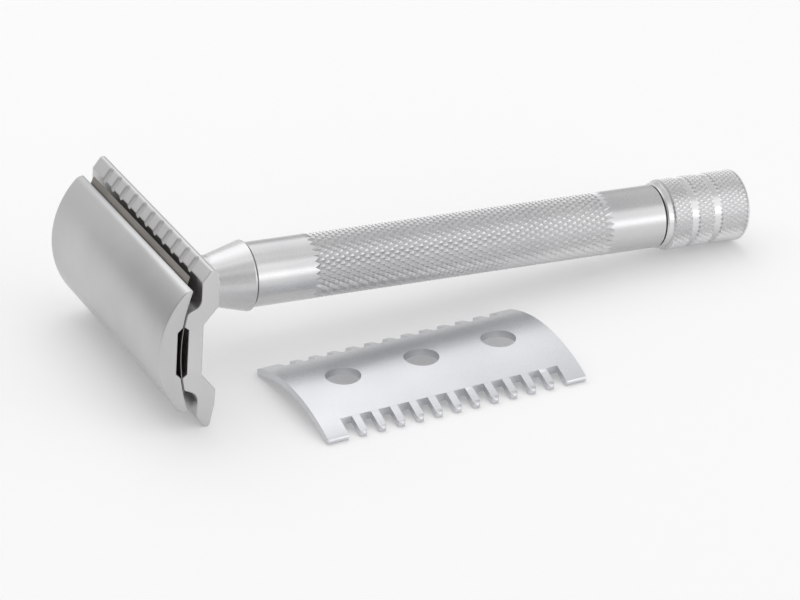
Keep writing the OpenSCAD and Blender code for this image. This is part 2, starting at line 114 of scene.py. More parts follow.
def ray_through(x, y):
    """Direction of the ray from the camera through an image point."""
    data = camera.data
    across = x - W / 2 + data.shift_x * L
    up = H / 2 - y + data.shift_y * L
    ahead = -L * data.lens / data.sensor_width
    return (camera.matrix_world.to_3x3() @ Vector((across, up, ahead))).normalized()


def image_of(place):
    """Image point of a place in the scene."""
    data = camera.data
    local = camera.matrix_world.inverted() @ place
    scale = L * data.lens / data.sensor_width / -local.z
    across = local.x * scale - data.shift_x * L
    up = local.y * scale - data.shift_y * L
    return (W / 2 + across, H / 2 - up)


def tree_of(pieces):
    """What a ray can meet on the pieces, and all their vertices."""
    verts, faces = [], []
    for piece in pieces:
        start = len(verts)
        verts += [v.co.copy() for v in piece.data.vertices]
        faces += [[start + i for i in p.vertices] for p in piece.data.polygons]
    return BVHTree.FromPolygons(verts, faces), verts


def placed(point, carriers):
    """Where the ray through an image point meets what carries a detail."""
    tree, verts = tree_of(carriers)
    direction = ray_through(*point)
    hit = tree.ray_cast(EYE, direction)[0]
    if hit is None:
        hit = min(verts, key=lambda v: (v - EYE).cross(direction).length)
    return hit


# ---- Finishes ----

CLOUDS_PER_M = 90.0          # clouds of tint in a metre
CLOUD_RANGE = (0.35, 0.65)   # noise levels at which the tint is darkest and lightest
GRAIN = 0.12 * MM            # size of the blasted grain
GRAIN_HEIGHT = 0.05          # its height, as a share of its size
GRAIN_RELIEF = 0.4
GRAIN_RANGE = (0.3, 0.7)     # noise levels at which the grain is smoothest and roughest
LINE_STEP = 0.08 * MM        # distance between lathe lines
LINE_HEIGHT = 0.004 * MM
LINE_BREAKS_PER_M = 8.0      # how fast a lathe line changes round the piece


def add_node(tree, kind, **values):
    """A new node whose values are sockets or, where it has no such socket, settings."""
    node = tree.nodes.new(kind)
    for key, value in values.items():
        if key in node.inputs:
            node.inputs[key].default_value = value
        else:
            setattr(node, key, value)
    return node


def satin_metal(name, light, dark, rough, lines=0.0):
    """Metal with a cloudy tint, a fine blasted grain and, on turned pieces, lathe lines."""
    material = bpy.data.materials.new(name)
    material.use_nodes = True
    tree = material.node_tree
    shader = tree.nodes["Principled BSDF"]
    shader.inputs["Metallic"].default_value = 1.0
    link = tree.links.new
    place = add_node(tree, "ShaderNodeTexCoord")
    turn = add_node(tree, "ShaderNodeMapping")
    turn.inputs["Rotation"].default_value = (0, -TILT, 0)
    link(place.outputs["Object"], turn.inputs["Vector"])

    cloud = add_node(tree, "ShaderNodeTexNoise", Scale=CLOUDS_PER_M, Detail=3.0)
    link(turn.outputs["Vector"], cloud.inputs["Vector"])
    tint = add_node(tree, "ShaderNodeValToRGB")
    for stop, level, colour in zip(tint.color_ramp.elements, CLOUD_RANGE, (dark, light)):
        stop.position = level
        stop.color = (*colour, 1)
    link(cloud.outputs["Fac"], tint.inputs["Fac"])
    link(tint.outputs["Color"], shader.inputs["Base Color"])

    speckle = add_node(tree, "ShaderNodeTexNoise", Scale=1 / GRAIN, Detail=2.0)
    link(turn.outputs["Vector"], speckle.inputs["Vector"])
    shine = add_node(tree, "ShaderNodeMapRange")
    for end, level, value in zip(("Min", "Max"), GRAIN_RANGE, rough):
        shine.inputs["From " + end].default_value = level
        shine.inputs["To " + end].default_value = value
    link(speckle.outputs["Fac"], shine.inputs["Value"])
    link(shine.outputs["Result"], shader.inputs["Roughness"])

    bump = add_node(tree, "ShaderNodeBump", Strength=GRAIN_RELIEF, Distance=GRAIN * GRAIN_HEIGHT)
    link(speckle.outputs["Fac"], bump.inputs["Height"])
    link(bump.outputs["Normal"], shader.inputs["Normal"])
    if lines:
        stretch = add_node(tree, "ShaderNodeMapping")
        stretch.inputs["Scale"].default_value = (
            1 / LINE_STEP, LINE_BREAKS_PER_M, LINE_BREAKS_PER_M)
        link(turn.outputs["Vector"], stretch.inputs["Vector"])
        lathe = add_node(tree, "ShaderNodeTexNoise", Scale=1.0, Detail=1.0)
        link(stretch.outputs["Vector"], lathe.inputs["Vector"])
        ridge = add_node(tree, "ShaderNodeBump", Strength=lines, Distance=LINE_HEIGHT)
        link(lathe.outputs["Fac"], ridge.inputs["Height"])
        link(bump.outputs["Normal"], ridge.inputs["Normal"])
        link(ridge.outputs["Normal"], shader.inputs["Normal"])
    return material


# Painted shade: the cap's chrome is a darker copy of the same satin chrome, so the cap renders darker than the
# other chrome parts.
cap_finish_painted_shade = satin_metal(
    "cap_satin_chrome", (0.57, 0.57, 0.575), (0.535, 0.535, 0.54), (0.34, 0.42))
plate_finish = satin_metal(
    "plate_satin_chrome", (0.63, 0.625, 0.625), (0.585, 0.58, 0.58), (0.38, 0.46))
# Painted light: the comb's chrome is a lighter copy of the same satin chrome, so the comb renders brighter than
# the razor's chrome.
comb_finish_painted_light = satin_metal(
    "comb_satin_chrome", (0.66, 0.67, 0.69), (0.62, 0.63, 0.65), (0.26, 0.34))
turned_finish = satin_metal(
    "turned_satin_chrome", (0.64, 0.64, 0.645), (0.60, 0.60, 0.61), (0.26, 0.34), lines=0.25)
# Painted light: the knob's chrome is a lighter copy of the turned pieces' chrome, so the knob renders brighter.
knob_finish_painted_light = satin_metal(
    "knob_satin_chrome", (0.73, 0.73, 0.735), (0.69, 0.69, 0.70), (0.26, 0.34), lines=0.25)
blade_finish = satin_metal(
    "blade_steel", (0.33, 0.307, 0.285), (0.265, 0.247, 0.23), (0.30, 0.42))
steel_finish = satin_metal(
    "plain_steel", (0.52, 0.52, 0.53), (0.46, 0.46, 0.47), (0.25, 0.36), lines=0.4)
brass_finish = satin_metal(
    "turned_brass", (0.72, 0.52, 0.25), (0.64, 0.46, 0.21), (0.24, 0.34), lines=0.4)


# ---- Making a piece ----

MERGE = 0.0005      # vertices closer than this become one
SAME = 1e-6         # lengths that differ by less are equal
ROUND_STEPS = 96    # faces round a turned piece or a hole
SMALL_STEPS = 64    # faces round a pin, the stud or a flute's cutter
CORNER_STEPS = 5    # faces across a turned piece's rounded corner
RIM_STEPS = 3       # faces across a rounded rim


def arc(centre, radius, start, end, count):
    """Points on a circle's arc, from one angle to another in degrees."""
    turns = [math.radians(start + (end - start) * i / count) for i in range(count + 1)]
    return [Vector((centre[0] + radius * math.cos(t), centre[1] + radius * math.sin(t)))
            for t in turns]


def finished(name, bm, place, finish, body, node, sharp=30):
    """Puts the model in its place, closes its seams and hands it to its body."""
    bmesh.ops.remove_doubles(bm, verts=bm.verts, dist=MERGE)
    bmesh.ops.transform(bm, matrix=place, verts=bm.verts)
    bmesh.ops.recalc_face_normals(bm, faces=bm.faces)
    mesh = bpy.data.meshes.new(name)
    bm.to_mesh(mesh)
    bm.free()
    mesh.shade_smooth()
    mesh.set_sharp_from_angle(angle=math.radians(sharp))
    mesh.materials.append(finish)
    piece = bpy.data.objects.new(name, mesh)
    bpy.context.collection.objects.link(piece)
    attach(piece, body)
    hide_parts(node)
    return piece


def turned(corners, steps=ROUND_STEPS):
    """Solid turned about X from corners (x, radius, rounding), in order round its section."""
    bm = bmesh.new()
    verts = [bm.verts.new((corner[0], 0, corner[1])) for corner in corners]
    closed = min(corner[1] for corner in corners) > 0
    follow = verts[1:] + verts[:1] if closed else verts[1:]
    for pair in zip(verts, follow):
        bm.edges.new(pair)
    for vert, corner in zip(verts, corners):
        if len(corner) > 2:
            bmesh.ops.bevel(bm, geom=[vert], offset=corner[2], affect="VERTICES",
                            segments=CORNER_STEPS, profile=0.5, material=-1)
    bmesh.ops.spin(bm, geom=bm.verts[:] + bm.edges[:], cent=(0, 0, 0), axis=(1, 0, 0),
                   angle=2 * math.pi, steps=steps, use_merge=True)
    bmesh.ops.remove_doubles(bm, verts=bm.verts, dist=MERGE)
    return bm


def round_edges(bm, edges, offset):
    """Rounds the edges as a narrow rim."""
    bmesh.ops.bevel(bm, geom=edges, offset=offset, affect="EDGES", segments=RIM_STEPS,
                    profile=0.5, material=-1, clamp_overlap=True)


def sheet_bar(outline, length, rim=0.0):
    """Solid with an outline in X and Z, drawn out along Y, its end rims rounded."""
    bm = bmesh.new()
    face = bm.faces.new([bm.verts.new((p[0], -length / 2, p[1])) for p in outline])
    drawn = bmesh.ops.extrude_face_region(bm, geom=[face])["geom"]
    far = [g for g in drawn if isinstance(g, bmesh.types.BMVert)]
    bmesh.ops.translate(bm, verts=far, vec=(0, length, 0))
    bmesh.ops.recalc_face_normals(bm, faces=bm.faces)
    if rim:
        ends = [e for e in bm.edges if abs(e.verts[0].co.y - e.verts[1].co.y) < SAME]
        round_edges(bm, ends, rim)
    return bm


def add_cylinder(bm, start, end, radius):
    """Adds a solid cylinder from start to end."""
    start, end = Vector(start), Vector(end)
    turn = (end - start).to_track_quat("Z", "Y").to_matrix().to_4x4()
    bmesh.ops.create_cone(bm, cap_ends=True, segments=ROUND_STEPS, radius1=radius,
                          radius2=radius, depth=(end - start).length,
                          matrix=Matrix.Translation((start + end) / 2) @ turn)


def add_block(bm, low, high):
    """Adds a solid box between two opposite corners."""
    low, high = Vector(low), Vector(high)
    place = Matrix.Translation((low + high) / 2) @ Matrix.Diagonal((*(high - low), 1))
    bmesh.ops.create_cube(bm, size=1, matrix=place)


def loose_object(name, bm):
    """An object of the model that belongs to no body."""
    mesh = bpy.data.meshes.new(name)
    bm.to_mesh(mesh)
    bm.free()
    thing = bpy.data.objects.new(name, mesh)
    bpy.context.collection.objects.link(thing)
    return thing


def joined(parts):
    """One model holding each of the parts."""
    bm = bmesh.new()
    for part in parts:
        mesh = bpy.data.meshes.new("part")
        part.to_mesh(mesh)
        part.free()
        bm.from_mesh(mesh)
        bpy.data.meshes.remove(mesh)
    return bm


def carved(bm, *tools, operation="DIFFERENCE"):
    """The solid less each of the tools, or what it shares with each of them."""
    for tool in tools:
        work = loose_object("work", bm)
        knife = loose_object("knife", tool)
        cut = work.modifiers.new("cut", "BOOLEAN")
        cut.operation = operation
        cut.solver = "EXACT"
        cut.object = knife
        bm = bmesh.new()
        bm.from_object(work, bpy.context.evaluated_depsgraph_get())
        for thing in (work, knife):
            mesh = thing.data
            bpy.data.objects.remove(thing)
            bpy.data.meshes.remove(mesh)
    return bm


# ---- Knurled pieces, grown ring by ring ----

ON_ROOT = 1e-4    # a vertex this near the knurl's root is in a valley


def ring_at(bm, x, radius, count):
    """Edges of a circle round the X axis."""
    place = Matrix.Translation((x, 0, 0)) @ Matrix.Rotation(math.pi / 2, 4, "Y")
    verts = bmesh.ops.create_circle(bm, segments=count, radius=radius, matrix=place)["verts"]
    return list({edge for vert in verts for edge in vert.link_edges})


def grown(bm, ring, x, radius, count, odd_radius=None, first=0):
    """The ring drawn on to x, where every other vertex may have a radius of its own."""
    drawn = bmesh.ops.extrude_edge_only(bm, edges=ring)["geom"]
    verts = {g for g in drawn if isinstance(g, bmesh.types.BMVert)}
    for vert in verts:
        angle = math.atan2(vert.co.z, vert.co.y)
        step = round(angle / (2 * math.pi) * count) + first
        reach = radius if odd_radius is None or step % 2 == 0 else odd_radius
        vert.co = (x, reach * math.cos(angle), reach * math.sin(angle))
    return [g for g in drawn if isinstance(g, bmesh.types.BMEdge) and set(g.verts) <= verts]


def stepped(bm, ring, count, corners):
    """The ring drawn on through corners (x, radius)."""
    for x, radius in corners:
        ring = grown(bm, ring, x, radius, count)
    return ring


def knurled(bm, ring, x0, x1, crest, root, count, rows, plain=None):
    """Rows of diamond points from x0 to x1. The end rows may be plain, at a radius."""
    for row in range(rows + 1):
        x = x0 + (x1 - x0) * row / rows
        if plain is not None and row in (0, rows):
            ring = grown(bm, ring, x, plain, count)
        else:
            ring = grown(bm, ring, x, crest, count, root, row)
    return ring


def facet_knurls(bm, root):
    """Splits the knurled faces along their valleys."""
    def in_valley(vert):
        return abs(math.hypot(vert.co.y, vert.co.z) - root) < ON_ROOT

    cut = [f for f in bm.faces if len(f.verts) == 4 and any(map(in_valley, f.verts))]
    bmesh.ops.triangulate(bm, faces=cut, quad_method="SHORT_EDGE", ngon_method="BEAUTY")


# ---- Handle tube ----

HANDLE_R = 5.0
JOINT_X = 16.15          # the tube starts here, on the ferrule's spigot
TUBE_END_X = 86.6
TUBE_BORE_R = 3.35
TUBE_EDGE = 0.12         # chamfer of the tube's end
SPIGOT_R = 4.2
SPIGOT_END_X = JOINT_X + 5.0
SEAM_W = 0.16            # the dark line between ferrule and tube
SEAM_R = 4.6             # radius at its bottom

GRIP_COUNT = 32          # knurl points round the handle
GRIP_R = HANDLE_R + 0.02
GRIP_DEPTH = 0.29
GRIP_ROW = 0.82          # distance between rows


def make_handle_tube():
    tube = frame["nodes"]["handle_tube"]
    start_x = (LAID.inverted() @ placed(POINTS["knurl_start"], [tube])).x
    end_x = (LAID.inverted() @ placed(POINTS["knurl_end"], [tube])).x
    count = 2 * GRIP_COUNT
    rows = 2 * round((end_x - start_x) / GRIP_ROW / 2)
    root = HANDLE_R - GRIP_DEPTH
    seam_x = JOINT_X + SEAM_W / 2
    bm = bmesh.new()
    ring = ring_at(bm, JOINT_X, SPIGOT_R, count)
    ring = stepped(bm, ring, count, (
        (JOINT_X, SEAM_R), (seam_x, SEAM_R), (seam_x, HANDLE_R)))
    ring = knurled(bm, ring, start_x, end_x, GRIP_R, root, count, rows, plain=HANDLE_R)
    stepped(bm, ring, count, (
        (TUBE_END_X - TUBE_EDGE, HANDLE_R), (TUBE_END_X, HANDLE_R - TUBE_EDGE),
        (TUBE_END_X, TUBE_BORE_R), (SPIGOT_END_X, TUBE_BORE_R), (SPIGOT_END_X, SPIGOT_R),
        (JOINT_X, SPIGOT_R)))
    facet_knurls(bm, root)
    return finished("handle_grip", bm, LAID, turned_finish, "handle", "handle_tube")


# ---- Knob, around the end of the draw rod ----

KNOB_X = TUBE_END_X + 0.15
KNOB_END_X = 101.6
KNOB_R = 5.72
KNOB_ROUND = 0.7         # rounding of its outer end
LIP_R = 5.216
LIP_EDGE = 0.2
LIP_MID_X = KNOB_X + 0.5 # a ring between the lip's edge and the first band
BAND_X = 88.0            # first of three knurled bands
BAND_LEN = 3.0
BAND_EDGE = 0.15         # length of the slope up to the first band
BAND_CHAMFER = 0.35      # length of the slope up to the others
GROOVE_W = 1.07
GROOVE_R = KNOB_R - 0.32
RECESS_X = 87.9
RECESS_R = 3.6

ROD_R = 1.6
ROD_END_X = 95.9
SCREW_R = 1.0
SCREW_X = ROD_END_X - 4  # the screw's inner end
SCREW_HEAD_R = 2.2
SCREW_HEAD_H = 1.2
SCREW_HEAD_X = KNOB_END_X - 0.3

KNOB_COUNT = 45          # knurl points round the knob
KNOB_DEPTH = 0.29
KNOB_ROW = 0.6           # distance between rows


def make_knob():
    count = 2 * KNOB_COUNT
    root = KNOB_R - KNOB_DEPTH
    round_x = KNOB_END_X - KNOB_ROUND
    bm = bmesh.new()
    ring = ring_at(bm, RECESS_X, ROD_R, count)
    ring = stepped(bm, ring, count, (
        (RECESS_X, RECESS_R), (KNOB_X, RECESS_R), (KNOB_X, HANDLE_R),
        (KNOB_X + LIP_EDGE, LIP_R), (LIP_MID_X, LIP_R), (BAND_X - BAND_EDGE, LIP_R)))
    x = BAND_X
    for end_x in (BAND_X + BAND_LEN, BAND_X + 2 * BAND_LEN + GROOVE_W, round_x):
        rows = round((end_x - x) / KNOB_ROW)
        ring = knurled(bm, ring, x, end_x, KNOB_R, root, count, rows)
        if end_x < round_x:
            ring = stepped(bm, ring, count, ((end_x, GROOVE_R), (end_x + GROOVE_W, GROOVE_R)))
            x = end_x + GROOVE_W + BAND_CHAMFER
    rounded = arc((round_x, KNOB_R - KNOB_ROUND), KNOB_ROUND, 75, 0, 4)
    stepped(bm, ring, count, (
        *rounded, (KNOB_END_X, SCREW_HEAD_R), (SCREW_HEAD_X, SCREW_HEAD_R),
        (SCREW_HEAD_X - SCREW_HEAD_H, SCREW_R), (ROD_END_X, SCREW_R), (ROD_END_X, ROD_R),
        (RECESS_X, ROD_R)))
    facet_knurls(bm, root)
    return finished("knob", bm, LAID, knob_finish_painted_light, "knob", "knob_body")


# ---- Ferrule ----

FERRULE_X = 0.02
STUD_BORE_R = 2.7
FOOT_ROUND = 0.2
NECK_R = 3.95
NECK_END_X = 9.95
NECK_ROUND = 0.4
CONE_END_X = 15.65
CONE_END_R = 5.48
CONE_ROUND = 0.12
EDGE_X = CONE_END_X + 0.15
EDGE_ROUND = 0.08
FRONT_WALL_X = 1.5       # inner face of the wall behind the plate


def make_ferrule():
    seam_x = JOINT_X - SEAM_W / 2
    bm = turned([
        (FERRULE_X, STUD_BORE_R), (FERRULE_X, NECK_R, FOOT_ROUND),
        (NECK_END_X, NECK_R, NECK_ROUND), (CONE_END_X, CONE_END_R, CONE_ROUND),
        (EDGE_X, CONE_END_R, EDGE_ROUND), (seam_x, HANDLE_R), (seam_x, SEAM_R),
        (JOINT_X, SEAM_R), (JOINT_X, SPIGOT_R), (SPIGOT_END_X, SPIGOT_R),
        (SPIGOT_END_X, TUBE_BORE_R), (FRONT_WALL_X, TUBE_BORE_R), (FRONT_WALL_X, STUD_BORE_R),
    ])
    return finished("ferrule", bm, LAID, turned_finish, "handle", "neck_ferrule")


# ---- Cap and fitted plate ----

HEAD_LEN = 43.0
CAP_X = -3.5             # the cap's face towards the blade
CAP_H = 3.42
CAP_R = 14.0
CAP_W = 19.8
CAP_SHOULDER_R = 1.6
CAP_EDGE_R = 0.25
CAP_RIM = 0.22
CAP_BEND_X = CAP_X - CAP_H + CAP_R
CAP_CHANNEL = (CAP_X - 0.5, 3.325)

SEAT_H = 3.3
SEAT_R = 29.0
BEND_X = -SEAT_H + SEAT_R    # the seat, the blade and the cap's face bend round this
CAP_FACE_R = BEND_X - CAP_X
SEAT_Z = 6.2             # half the seat's width
SEAT_ROUND = 0.45
SEAT_ARC_Z = 5.3         # where that rounding has ended
CHANNEL_Z = 4.1          # half the channel's width, in the cap and in the seat
PLATE_CHANNEL = (-SEAT_H + 0.97, 3.5665)
PLATE_FRONT_X = -0.5
BAR_FOOT = (PLATE_FRONT_X, 10.95)
BAR_TIP = (1.44, 13.56)
# Corners of half the plate's section, from its back round the bar to its front,
# each with its rounding
PLATE_CORNERS = (
    ((0, 4.05), 0), ((2.33, 6.78), 0.4), ((2.28, 9.2), 2.5), (BAR_TIP, 0.6),
    (BAR_FOOT, 0.5), ((PLATE_FRONT_X, 7.18), 1.7),
)
PLATE_RIM = 0.18

HOLE_PITCH = 13.05
HOLE_R = 2.7
PLATE_CUT_X = (-6, 4)    # from before the plate to behind it


def mirrored(half):
    """Half a section and its mirror image across the middle."""
    return half + [Vector((p[0], -p[1])) for p in reversed(half)]


def cap_outline():
    """The cap's section: an arc, and a shoulder and an edge on each side."""
    shoulder = Vector((0, CAP_W / 2 - CAP_SHOULDER_R))
    shoulder.x = CAP_BEND_X - math.sqrt((CAP_R - CAP_SHOULDER_R) ** 2 - shoulder.y ** 2)
    cap_arc = math.degrees(math.atan2(shoulder.y, CAP_BEND_X - shoulder.x))
    edge_a = CAP_SHOULDER_R - CAP_EDGE_R
    edge_b = CAP_FACE_R + CAP_EDGE_R
    reach = math.hypot(BEND_X - shoulder.x, shoulder.y)
    turn = math.acos((edge_a ** 2 + reach ** 2 - edge_b ** 2) / (2 * edge_a * reach))
    turn -= math.atan2(shoulder.y, BEND_X - shoulder.x)
    edge = shoulder + edge_a * Vector((math.cos(turn), math.sin(turn)))
    face_arc = math.degrees(math.asin(edge.y / edge_b))
    channel = math.degrees(math.asin(CHANNEL_Z / CAP_FACE_R))
    half = arc((CAP_BEND_X, 0), CAP_R, 180, 180 - cap_arc, 28)
    half += arc(shoulder, CAP_SHOULDER_R, 180 - cap_arc, math.degrees(turn), 12)[1:]
    half += arc(edge, CAP_EDGE_R, math.degrees(turn), -face_arc, 8)[1:]
    half += arc((BEND_X, 0), CAP_FACE_R, 180 - face_arc, 180 - channel, 6)[1:]
    half += [Vector(CAP_CHANNEL)]
    return mirrored(half[1:]) + [half[0]]


def make_cap():
    bm = sheet_bar(cap_outline(), HEAD_LEN, rim=CAP_RIM)
    return finished("cap", bm, LAID, cap_finish_painted_shade, "cap", "top_cap", sharp=25)


def rounded_corner(before, here, after, radius, count=10):
    """The arc that rounds the corner here, between the corners before and after."""
    u, v = (before - here).normalized(), (after - here).normalized()
    half = u.angle(v) / 2
    centre = here + (u + v).normalized() * radius / math.sin(half)
    start = here + u * radius / math.tan(half) - centre
    side = 1 if (here - before).cross(after - here) > 0 else -1
    sweep = side * (math.pi - 2 * half)
    return [centre + Matrix.Rotation(sweep * i / count, 2) @ start for i in range(count + 1)]


def on_seat(z):
    """The seat's point at z."""
    return (BEND_X - math.sqrt(SEAT_R ** 2 - z ** 2), z)


def plate_outline():
    """The plate's section: its back, a bar on each side, the seat and its channel."""
    channel = math.degrees(math.asin(CHANNEL_Z / SEAT_R))
    seat_arc = math.degrees(math.asin(SEAT_ARC_Z / SEAT_R))
    corners = [*PLATE_CORNERS, (on_seat(SEAT_Z), SEAT_ROUND), (on_seat(CHANNEL_Z), 0)]
    half = [Vector(corners[0][0])]
    for before, here, after in zip(corners, corners[1:], corners[2:]):
        half += rounded_corner(Vector(before[0]), Vector(here[0]), Vector(after[0]), here[1])
    half += arc((BEND_X, 0), SEAT_R, 180 - seat_arc, 180 - channel, 4)[1:]
    half += [Vector(PLATE_CHANNEL)]
    return mirrored(half)


FLUTE_N = 11
FLUTE_PITCH = 3.3
FLUTE_R = 0.95
FLUTE_D = 0.3
FLUTE_RUN = 1.6          # length along the bar before the round end
FLUTE_OPEN = 1           # length of the cutter before the bar


def flute_tool():
    """A round-ended cutter for each flute, along the sloping faces of both bars."""
    slope = math.atan2(BAR_TIP[1] - BAR_FOOT[1], BAR_TIP[0] - BAR_FOOT[0])
    away = (FLUTE_R - FLUTE_D) * Vector((-math.sin(slope), 0, math.cos(slope)))
    end = [(p.x, p.y) for p in arc((FLUTE_RUN, 0), FLUTE_R, 90, 0, 10)]
    tools = []
    for i in range(FLUTE_N):
        y = (i - (FLUTE_N - 1) / 2) * FLUTE_PITCH
        front = Vector((BAR_FOOT[0], y, BAR_FOOT[1])) + away
        for side in (1, -1):
            tool = turned([(-FLUTE_OPEN, 0), (-FLUTE_OPEN, FLUTE_R)] + end, SMALL_STEPS)
            place = (Matrix.Translation(front * Vector((1, 1, side)))
                     @ Matrix.Rotation(-side * slope, 4, "Y"))
            bmesh.ops.transform(tool, matrix=place, verts=tool.verts)
            bmesh.ops.recalc_face_normals(tool, faces=tool.faces)
            tools.append(tool)
    return joined(tools)


def hole_tool(radius, x0, x1):
    """The middle hole and the two side holes, from x0 to x1."""
    tool = bmesh.new()
    for side in (-1, 0, 1):
        add_cylinder(tool, (x0, side * HOLE_PITCH, 0), (x1, side * HOLE_PITCH, 0), radius)
    return tool


def make_base_plate():
    bm = sheet_bar(plate_outline(), HEAD_LEN, rim=PLATE_RIM)
    bm = carved(bm, hole_tool(HOLE_R, *PLATE_CUT_X), flute_tool())
    return finished("closed_comb_plate", bm, LAID, plate_finish, "fitted_plate", "base_plate",
                    sharp=12)


# ---- Blade ----

BLADE_W = 22.0
BLADE_LEN = HEAD_LEN - 0.2
BLADE_T = 0.1
BLADE_LIFT = 0.05        # gap between the seat and the blade
GRIND_W = 0.6            # width of the ground edge
EDGE_LEN = 37.5          # the edge is shorter than the blade
TAB_W = 13.0             # width of the blade's ends
SLOT_Z = 1.1             # half the slot's width
BLADE_HOLE_R = 2.75
BLADE_CUT_X = (-6, 2)    # from before the blade to behind it
CORNER_CUT_X = (-6, 4)
BEYOND_Y, BEYOND_Z = 30, 20


def make_blade():
    back_r = SEAT_R + BLADE_LIFT
    half_arc = math.degrees(BLADE_W / 2 / back_r)
    flat_arc = half_arc - math.degrees(GRIND_W / back_r)
    centre = (BEND_X, 0)
    front = arc(centre, back_r + BLADE_T, 180 - flat_arc, 180 + flat_arc, 32)
    back = arc(centre, back_r, 180 + flat_arc, 180 - flat_arc, 32)
    low, high = arc(centre, back_r + BLADE_T / 2, 180 + half_arc, 180 - half_arc, 1)
    bm = sheet_bar(front + [low] + back + [high], BLADE_LEN)
    slot = bmesh.new()
    add_block(slot, (BLADE_CUT_X[0], -HOLE_PITCH, -SLOT_Z), (BLADE_CUT_X[1], HOLE_PITCH, SLOT_Z))
    corners = bmesh.new()
    for end in (-1, 1):
        for side in (-1, 1):
            ys = sorted((end * EDGE_LEN / 2, end * BEYOND_Y))
            zs = sorted((side * TAB_W / 2, side * BEYOND_Z))
            add_block(corners, (CORNER_CUT_X[0], ys[0], zs[0]), (CORNER_CUT_X[1], ys[1], zs[1]))
    bm = carved(bm, hole_tool(BLADE_HOLE_R, *BLADE_CUT_X), slot, corners)
    return finished("double_edge_blade", bm, LAID, blade_finish, "blade", "razor_blade",
                    sharp=2)


# ---- Guide pins and threaded stud ----

SOCKET_FLOOR_X = -5.9    # pins and stud start inside the cap
PIN_R = 2.4
PIN_END_X = -0.2
PIN_ROUND = 0.5
STUD_R = 2.45
STUD_ROOT_R = 2.05
STUD_END_X = 9.3
STUD_CHAMFER = 0.5
SHANK_X = 0.75           # end of the plain shank
SHANK_EDGE = 0.2
THREAD_PITCH = 0.8
THREAD_TURNS = 9
THREAD_STEPS = 48        # steps in each turn
THREAD_ROOT_R = STUD_ROOT_R - 0.02
THREAD_SECTION = ((0.0, THREAD_ROOT_R), (0.3, STUD_R), (0.42, STUD_R), (0.72, THREAD_ROOT_R))


def make_pins_and_stud():
    pins = []
    for side in (-1, 1):
        pin = turned([(SOCKET_FLOOR_X, 0), (SOCKET_FLOOR_X, PIN_R), (PIN_END_X, PIN_R, PIN_ROUND),
                      (PIN_END_X, 0)], SMALL_STEPS)
        bmesh.ops.translate(pin, verts=pin.verts, vec=(0, side * HOLE_PITCH, 0))
        pins.append(pin)
    finished("guide_pins", joined(pins), LAID, steel_finish, "cap", "cap_guide_pins")

    stud = turned([
        (SOCKET_FLOOR_X, 0), (SOCKET_FLOOR_X, STUD_R), (SHANK_X, STUD_R),
        (SHANK_X + SHANK_EDGE, STUD_ROOT_R), (STUD_END_X - STUD_CHAMFER, STUD_ROOT_R),
        (STUD_END_X, STUD_ROOT_R - STUD_CHAMFER), (STUD_END_X, 0)], SMALL_STEPS)
    verts = [stud.verts.new((SHANK_X + x, 0, radius)) for x, radius in THREAD_SECTION]
    edges = [stud.edges.new(pair) for pair in zip(verts, verts[1:])]
    bmesh.ops.spin(stud, geom=verts + edges, cent=(0, 0, 0), axis=(1, 0, 0),
                   dvec=(THREAD_PITCH / THREAD_STEPS, 0, 0), angle=THREAD_TURNS * 2 * math.pi,
                   steps=THREAD_TURNS * THREAD_STEPS)
    finished("threaded_stud", stud, LAID, steel_finish, "cap", "cap_stud")


# ---- Open comb plate ----

COMB_W = 24.6
COMB_T = 1.15
COMB_RIM = 0.16
COMB_CRISP = math.radians(35)    # edges sharper than this are rounded
COMB_SPARE = 2                   # the bent sheet is longer than the plate cut from it
PLAN_DEPTH = 20                  # the plan is drawn out well past the sheet
COMB_CUT_Z = (-2, 6)             # from under the plate to above it
TOOTH_N = 11
TOOTH_PITCH = 3.12
TOOTH_W = 1.2
TOOTH_LEN = 3.1
NOSE_TRIM = 0.01                 # how far the plan cuts into the round noses
TAB_R = 0.2
TAB_X = (TOOTH_N + 1) / 2 * TOOTH_PITCH - TOOTH_W / 2
ROOT_Y = COMB_W / 2 - TOOTH_LEN


def comb_section():
    """The bent sheet in Y and Z, with round noses."""
    mid_r = SEAT_R - COMB_T / 2
    spread = math.degrees(math.asin((COMB_W / 2 + NOSE_TRIM - COMB_T / 2) / mid_r))
    bend_z = COMB_T / 2 - mid_r * math.cos(math.radians(spread))
    end = mid_r * Vector((math.sin(math.radians(spread)), math.cos(math.radians(spread))))
    outline = arc((0, bend_z), SEAT_R, 90 + spread, 90 - spread, 64)
    outline += arc((end.x, bend_z + end.y), COMB_T / 2, 90 - spread, -90 - spread, 16)[1:]
    outline += arc((0, bend_z), SEAT_R - COMB_T, 90 - spread, 90 + spread, 64)[1:]
    outline += arc((-end.x, bend_z + end.y), COMB_T / 2, 270 + spread, 90 + spread, 16)[1:-1]
    return outline


def comb_plan():
    """The plate seen from above: round-ended teeth between two end tabs."""
    half_len, half_w = HEAD_LEN / 2, COMB_W / 2
    far = arc((TAB_R - half_len, half_w - TAB_R), TAB_R, 180, 90, 8)
    far += arc((-TAB_X - TAB_R, half_w - TAB_R), TAB_R, 90, 0, 8) + [Vector((-TAB_X, ROOT_Y))]
    for i in range(TOOTH_N):
        x = (i - (TOOTH_N - 1) / 2) * TOOTH_PITCH
        far += [Vector((x - TOOTH_W / 2, ROOT_Y))]
        far += arc((x, half_w - TOOTH_W / 2), TOOTH_W / 2, 180, 0, 16)
        far += [Vector((x + TOOTH_W / 2, ROOT_Y))]
    far += [Vector((TAB_X, ROOT_Y))] + arc((TAB_X + TAB_R, half_w - TAB_R), TAB_R, 180, 90, 8)
    far += arc((half_len - TAB_R, half_w - TAB_R), TAB_R, 90, 0, 8)
    return far + [-p for p in far]


